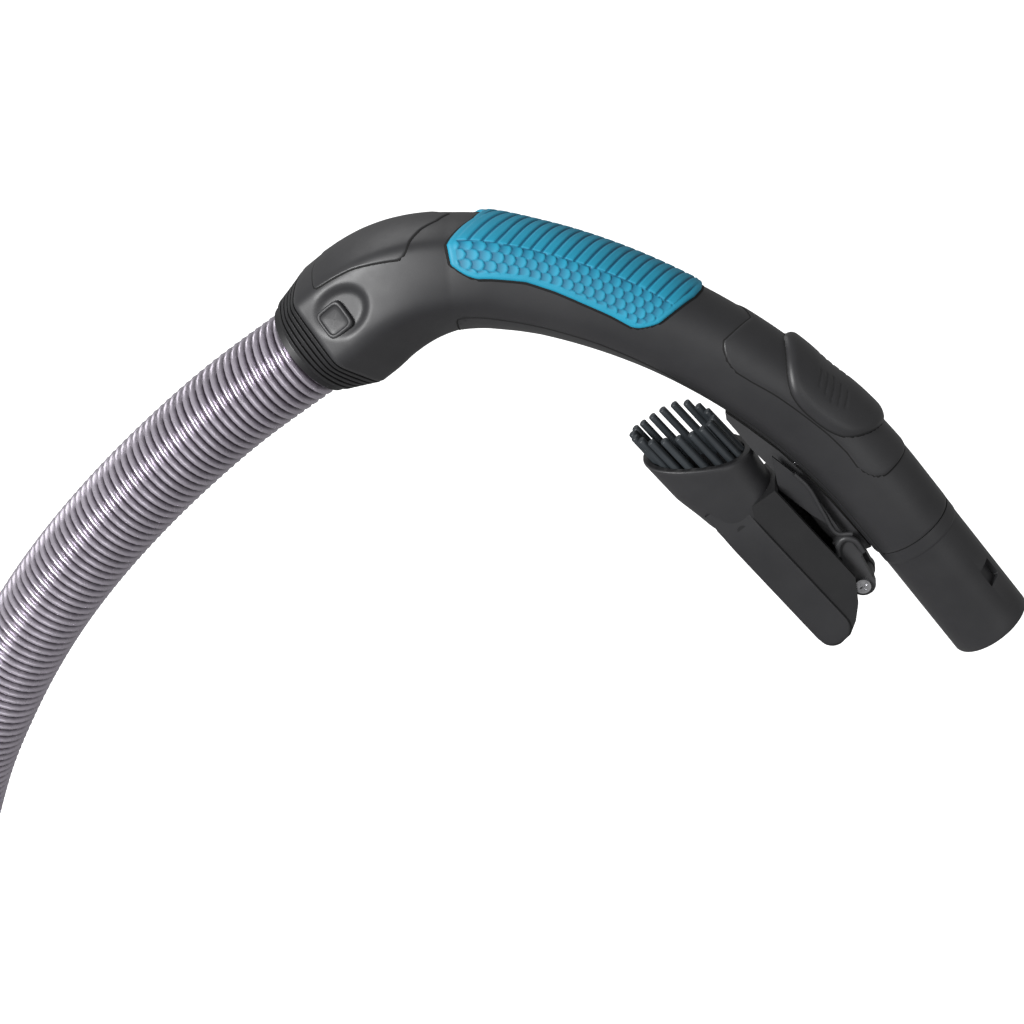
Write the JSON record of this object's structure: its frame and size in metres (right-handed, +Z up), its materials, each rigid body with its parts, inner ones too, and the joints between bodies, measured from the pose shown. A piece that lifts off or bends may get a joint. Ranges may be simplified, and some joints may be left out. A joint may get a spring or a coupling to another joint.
{
  "type": "vacuum cleaner hose handle",
  "caption": "Bent vacuum hose handle with soft grip, suction slider, swivelling corrugated hose and a dusting brush carried under the wand spigot.",
  "frame": {"origin": "centre of the open end of the wand spigot", "axes": "+X horizontal, towards the spigot's end; +Y across the handle, away from the near side; +Z up"},
  "size_m": [0.5142, 0.4492, 0.4928],
  "materials": {
    "dark_plastic": "fine moulded satin",
    "black_plastic": "matt",
    "soft_blue": "soft touch",
    "hose_silver": "metallic silver",
    "bristle": "flexible",
    "seal_rubber": "matt",
    "steel": "bright zinc"
  },
  "bodies": {
    "root": {"wand_tube": "dark_plastic", "air_duct": "dark_plastic", "upper_shell": "dark_plastic", "lower_shell": "dark_plastic", "top_cover": "dark_plastic", "grip_pad": "soft_blue", "slider_plate": "dark_plastic", "slider_detent": "steel", "end_collar": "black_plastic", "cuff_seal": "seal_rubber", "button_spring_near": "steel", "button_spring_far": "steel", "shell_screws": "steel", "tool_bracket": "dark_plastic", "bracket_screws": "steel", "pivot_screw": "steel", "pivot_nut": "steel", "hose": "hose_silver", "hose_coil": "hose_silver", "hose_tie": "black_plastic", "machine_connector": "black_plastic", "connector_seal": "seal_rubber"},
    "slider": {"air_slider": "dark_plastic", "slider_shutter": "black_plastic"},
    "button_near": {"hose_button_near": "dark_plastic"},
    "button_far": {"hose_button_far": "dark_plastic"},
    "swivel": {"swivel_cuff": "black_plastic", "retaining_ring": "steel"},
    "cradle": {"tool_cradle": "dark_plastic", "cradle_latch": "dark_plastic"},
    "tool": {"tool_body": "dark_plastic", "bristle_holder": "black_plastic", "bristles": "bristle", "tool_screw": "steel"}
  },
  "joints": [
    {"name": "air_slider", "type": "hinge", "parent": "root", "child": "slider", "pos_m": [-0.24608, 0, -0.08947], "axis": [0, -1, 0], "range_deg": [0, 2.53]},
    {"name": "near_button_press", "type": "slide", "parent": "root", "child": "button_near", "axis": [0.2398, 0.9336, -0.2663], "range_m": [0, 0.002], "stiffness_N_per_m": 800, "springref_m": -0.001, "deforming": ["button_spring_near"]},
    {"name": "far_button_press", "type": "slide", "parent": "root", "child": "button_far", "axis": [0.2398, -0.9336, -0.2663], "range_m": [0, 0.002], "stiffness_N_per_m": 800, "springref_m": -0.001, "deforming": ["button_spring_far"]},
    {"name": "hose_swivel", "type": "hinge", "parent": "root", "child": "swivel", "pos_m": [-0.27835, 0, 0.13002], "axis": [-0.7431, 0, -0.6691], "continuous": true},
    {"name": "cradle_swing", "type": "hinge", "parent": "root", "child": "cradle", "pos_m": [-0.05583, 0, 0.0211], "axis": [0, -1, 0], "range_deg": [0, 24]},
    {"name": "brush_pull_off", "type": "slide", "parent": "cradle", "child": "tool", "axis": [-0.7478, 0, -0.6639], "range_m": [0, 0.06]}
  ]
}
